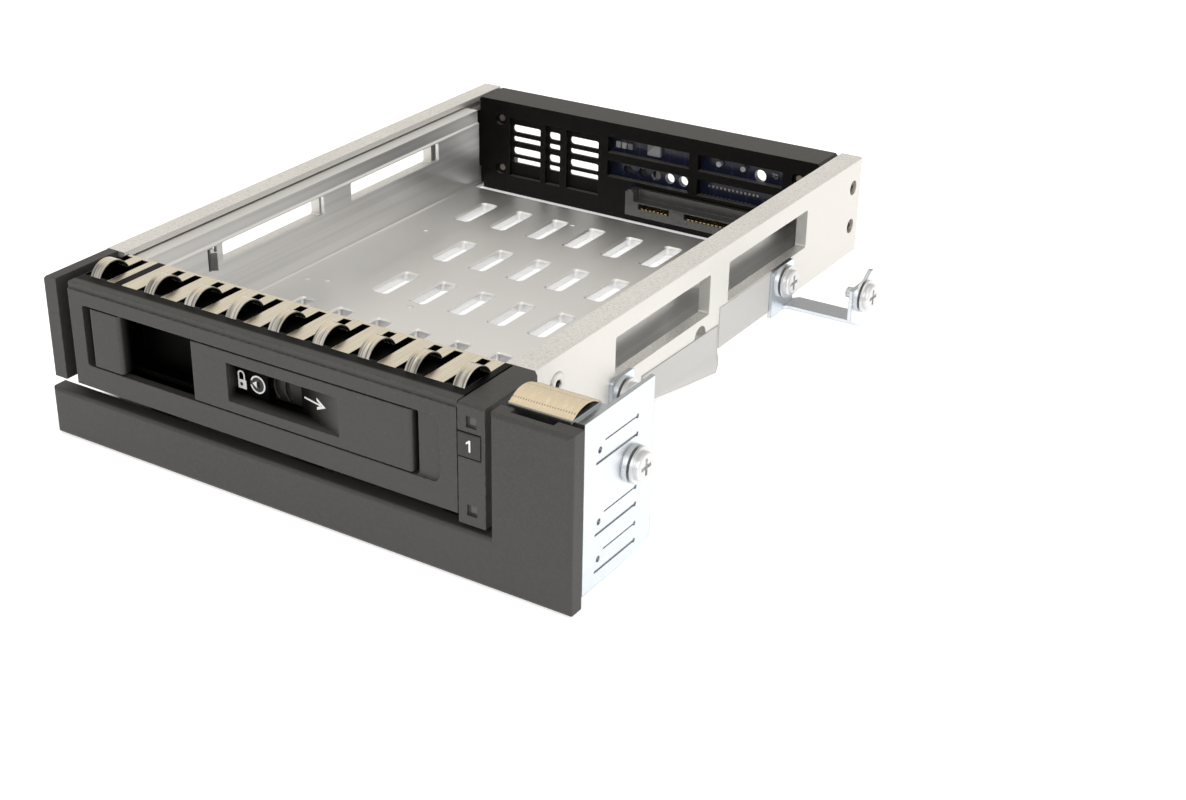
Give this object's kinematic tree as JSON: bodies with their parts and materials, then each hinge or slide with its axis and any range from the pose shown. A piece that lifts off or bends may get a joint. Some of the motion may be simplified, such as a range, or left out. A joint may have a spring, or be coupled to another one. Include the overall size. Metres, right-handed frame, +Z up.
{
  "type": "hot swap drive caddy",
  "caption": "Open cage for a hard drive in a 5.25 inch bay: aluminium rails, sliding tray with a swing-out locking lever, backplane and L-shaped faceplate.",
  "frame": {"origin": "middle of the bounding box's underside", "axes": "+Y from the faceplate to the back, +Z up, +X to the right as seen from the front"},
  "size_m": [0.1502, 0.1836, 0.0445],
  "materials": {
    "black_plastic": "moulded, fine matte grain",
    "rail_aluminium": "blasted and clear anodised",
    "tray_zinc": "zinc coated sheet, satin",
    "bright_zinc": "bright zinc plate",
    "screw_zinc": "bright zinc plate",
    "strip_steel": "satin spring steel",
    "gasket_cloth": "fine metallised cloth",
    "label_paper": "bare film",
    "clear_plastic": "clouded clear moulding",
    "board_blue": "dark solder mask",
    "part_body": "mixed small parts",
    "gilt": "gilt"
  },
  "bodies": {
    "bay": {"faceplate": "black_plastic", "cage_front": "black_plastic", "number_plate": "black_plastic", "upper_light_pipe": "clear_plastic", "lower_light_pipe": "clear_plastic", "lamp_board": "board_blue", "left_rail": "rail_aluminium", "right_rail": "rail_aluminium", "backplane_frame": "black_plastic", "backplane_board": "board_blue", "board_parts": "part_body", "drive_connector": "black_plastic", "drive_contacts": "gilt", "rear_data_socket": "black_plastic", "rear_power_socket": "black_plastic", "side_bracket": "bright_zinc", "rear_bracket": "bright_zinc", "bay_screws": "screw_zinc", "flat_washers": "screw_zinc", "split_washers": "screw_zinc", "frame_screws": "screw_zinc", "board_screws": "screw_zinc", "faceplate_screws": "screw_zinc", "bay_gasket": "gasket_cloth", "gasket_clip": "bright_zinc", "wrap_label": "label_paper", "flap_label": "label_paper"},
    "carrier": {"carrier_front": "black_plastic", "tray": "tray_zinc", "tray_screws": "screw_zinc", "shield_strip": "strip_steel", "short_shield_strip": "strip_steel", "lever_pin": "screw_zinc"},
    "lever": {"lever": "black_plastic", "latch_spring": "screw_zinc"},
    "latch": {"latch_slide": "black_plastic"},
    "lock": {"lock_barrel": "black_plastic"}
  },
  "joints": [
    {"name": "carrier_slide", "type": "slide", "parent": "bay", "child": "carrier", "axis": [0, -1, 0], "range_m": [0, 0.135]},
    {"name": "lever_hinge", "type": "hinge", "parent": "carrier", "child": "lever", "pos_m": [0.0309, -0.08815, 0.02895], "axis": [0, 0, 1], "range_deg": [0, 75]},
    {"name": "latch_slide_travel", "type": "slide", "parent": "lever", "child": "latch", "axis": [1, 0, 0], "range_m": [0, 0.004], "stiffness_N_per_m": 100, "springref_m": -0.002, "deforming": ["latch_spring"]},
    {"name": "lock_turn", "type": "hinge", "parent": "lever", "child": "lock", "pos_m": [-0.0117, -0.08765, 0.02825], "axis": [0, 1, 0], "range_deg": [0, 90]}
  ]
}
